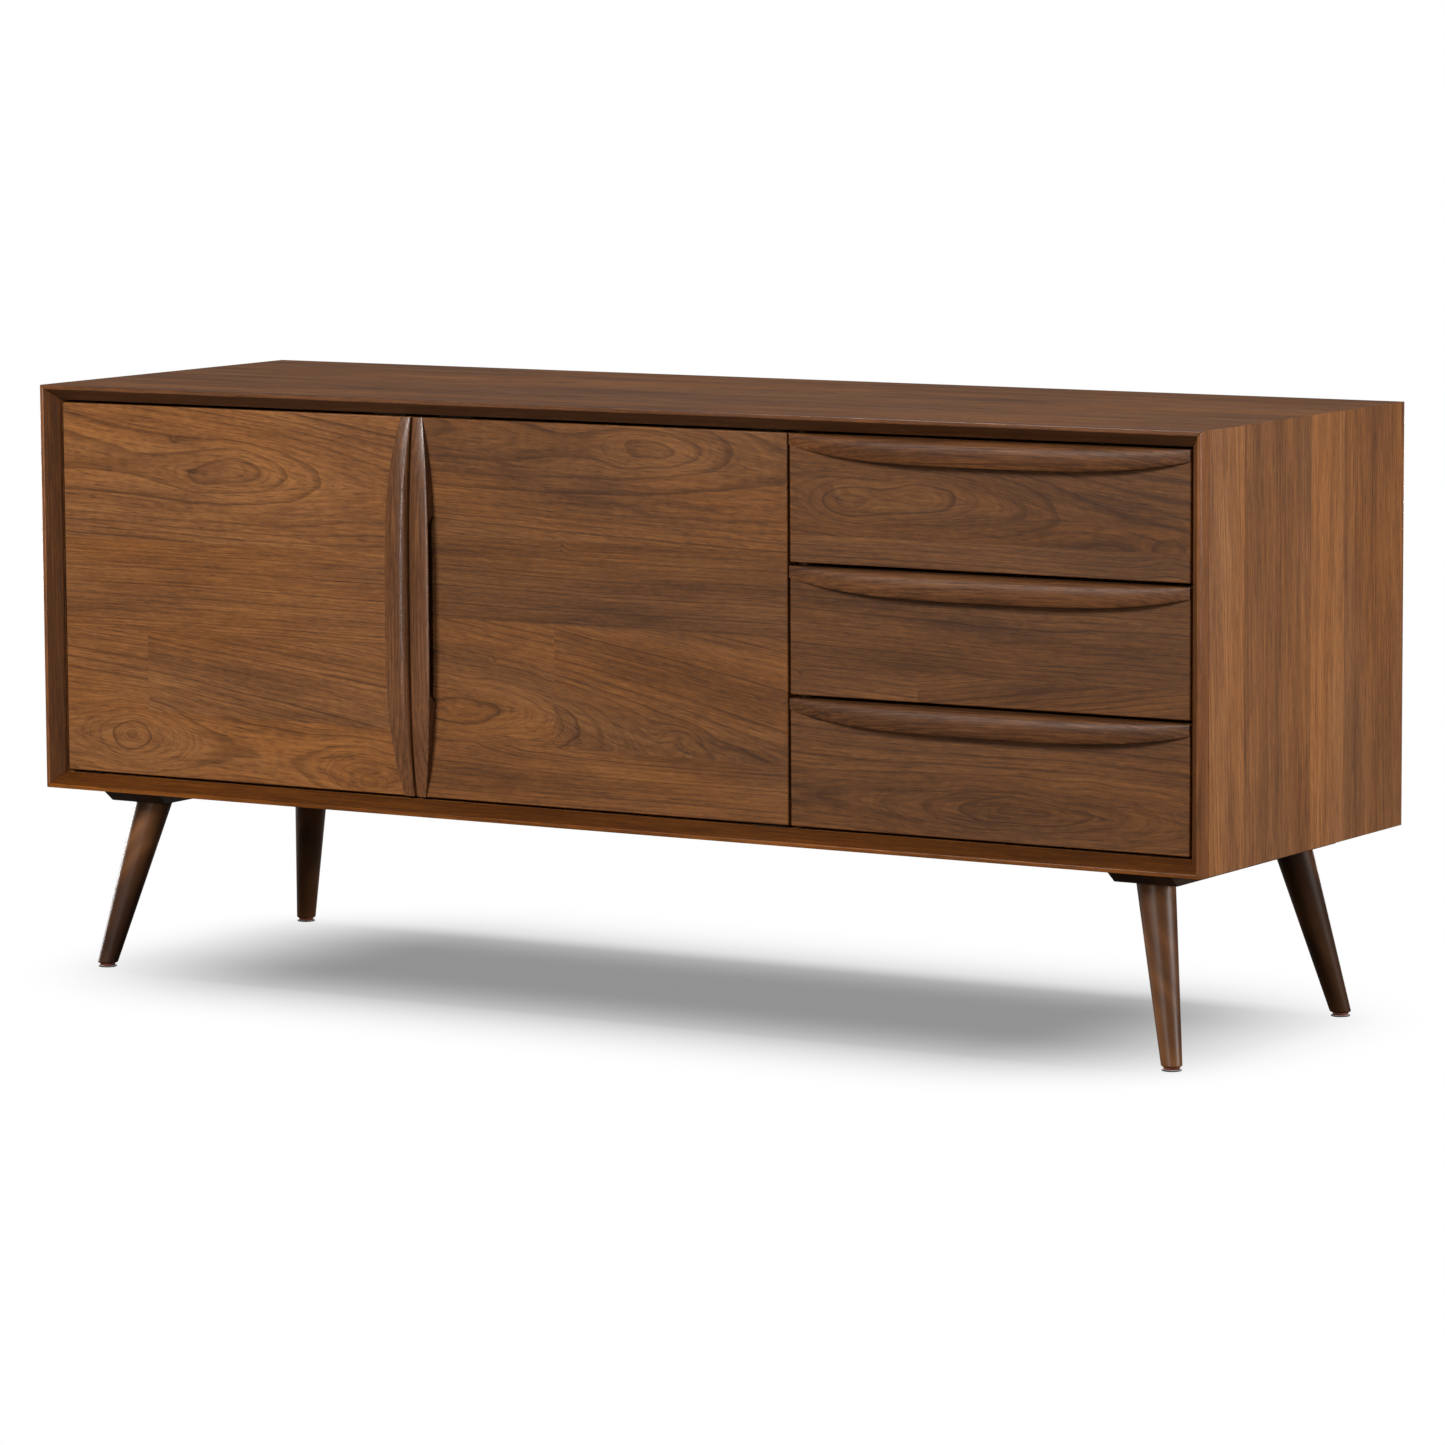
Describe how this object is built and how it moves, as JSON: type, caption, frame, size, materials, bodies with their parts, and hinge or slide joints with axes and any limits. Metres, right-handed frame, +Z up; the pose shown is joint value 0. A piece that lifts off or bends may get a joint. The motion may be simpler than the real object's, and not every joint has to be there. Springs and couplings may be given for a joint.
{
  "type": "sideboard buffet",
  "caption": "Long low walnut sideboard with a bevelled mitred frame, inset doors and drawers with carved lens pulls, on splayed tapered legs.",
  "frame": {"origin": "on the floor, at the middle of the whole outline", "axes": "+X to the right along the length as seen from the front, +Y to the back, +Z up"},
  "size_m": [1.6, 0.5116, 0.722],
  "materials": {
    "case_walnut": "satin walnut veneer, straight grain",
    "edging_walnut": "satin solid walnut",
    "front_walnut": "satin walnut with figured grain",
    "pull_walnut": "satin carved walnut",
    "leg_walnut": "satin turned walnut",
    "rail_wood": "dark stained wood",
    "inner_walnut": "satin walnut veneer inside",
    "drawer_wood": "clear lacquered light hardwood",
    "slide_steel": "zinc plated",
    "fixing_steel": "plated",
    "catch_plastic": "matt moulded",
    "glide_plastic": "matt moulded",
    "pad_felt": "dense felt"
  },
  "bodies": {
    "case": {"top_panel": "case_walnut", "bottom_panel": "case_walnut", "left_side_panel": "case_walnut", "right_side_panel": "case_walnut", "top_front_edging": "edging_walnut", "bottom_front_edging": "edging_walnut", "left_front_edging": "edging_walnut", "right_front_edging": "edging_walnut", "back_panel": "inner_walnut", "centre_divider": "inner_walnut", "adjustable_shelf": "inner_walnut", "left_leg_rail": "rail_wood", "right_leg_rail": "rail_wood", "front_left_leg": "leg_walnut", "front_right_leg": "leg_walnut", "back_left_leg": "leg_walnut", "back_right_leg": "leg_walnut", "shelf_pegs": "fixing_steel", "leg_bolts": "fixing_steel", "rail_screws": "fixing_steel", "back_screws": "fixing_steel", "door_pivot_pins": "fixing_steel", "cabinet_slides": "slide_steel", "door_catches": "catch_plastic", "leg_glides": "glide_plastic", "glide_pads": "pad_felt"},
    "left_door": {"left_door_panel": "front_walnut", "left_door_pull": "pull_walnut", "left_door_pivot_bushes": "fixing_steel", "left_door_strike": "fixing_steel"},
    "right_door": {"right_door_panel": "front_walnut", "right_door_pull": "pull_walnut", "right_door_pivot_bushes": "fixing_steel", "right_door_strike": "fixing_steel"},
    "bottom_drawer": {"bottom_drawer_front": "front_walnut", "bottom_drawer_pull": "pull_walnut", "bottom_drawer_left_side": "drawer_wood", "bottom_drawer_right_side": "drawer_wood", "bottom_drawer_bottom": "drawer_wood", "bottom_drawer_back": "drawer_wood", "bottom_drawer_slide_rails": "slide_steel"},
    "bottom_slide": {"bottom_drawer_slide_middles": "slide_steel"},
    "middle_drawer": {"middle_drawer_front": "front_walnut", "middle_drawer_pull": "pull_walnut", "middle_drawer_left_side": "drawer_wood", "middle_drawer_right_side": "drawer_wood", "middle_drawer_bottom": "drawer_wood", "middle_drawer_back": "drawer_wood", "middle_drawer_slide_rails": "slide_steel"},
    "middle_slide": {"middle_drawer_slide_middles": "slide_steel"},
    "top_drawer": {"top_drawer_front": "front_walnut", "top_drawer_pull": "pull_walnut", "top_drawer_left_side": "drawer_wood", "top_drawer_right_side": "drawer_wood", "top_drawer_bottom": "drawer_wood", "top_drawer_back": "drawer_wood", "top_drawer_slide_rails": "slide_steel"},
    "top_slide": {"top_drawer_slide_middles": "slide_steel"}
  },
  "joints": [
    {"name": "left_door_hinge", "type": "hinge", "parent": "case", "child": "left_door", "pos_m": [-0.762, -0.22725, 0.4735], "axis": [0, 0, -1], "range_deg": [0, 90]},
    {"name": "right_door_hinge", "type": "hinge", "parent": "case", "child": "right_door", "pos_m": [0.24217, -0.22725, 0.4735], "axis": [0, 0, 1], "range_deg": [0, 90]},
    {"name": "bottom_drawer_slide", "type": "slide", "parent": "case", "child": "bottom_drawer", "axis": [0, -1, 0], "range_m": [0, 0.38]},
    {"name": "bottom_slide_run", "type": "slide", "parent": "case", "child": "bottom_slide", "axis": [0, -1, 0], "range_m": [0, 0.19]},
    {"name": "middle_drawer_slide", "type": "slide", "parent": "case", "child": "middle_drawer", "axis": [0, -1, 0], "range_m": [0, 0.38]},
    {"name": "middle_slide_run", "type": "slide", "parent": "case", "child": "middle_slide", "axis": [0, -1, 0], "range_m": [0, 0.19]},
    {"name": "top_drawer_slide", "type": "slide", "parent": "case", "child": "top_drawer", "axis": [0, -1, 0], "range_m": [0, 0.38]},
    {"name": "top_slide_run", "type": "slide", "parent": "case", "child": "top_slide", "axis": [0, -1, 0], "range_m": [0, 0.19]}
  ],
  "couplings": [
    {"joint": "bottom_slide_run", "follows": "bottom_drawer_slide", "ratio": 0.5},
    {"joint": "middle_slide_run", "follows": "middle_drawer_slide", "ratio": 0.5},
    {"joint": "top_slide_run", "follows": "top_drawer_slide", "ratio": 0.5}
  ]
}
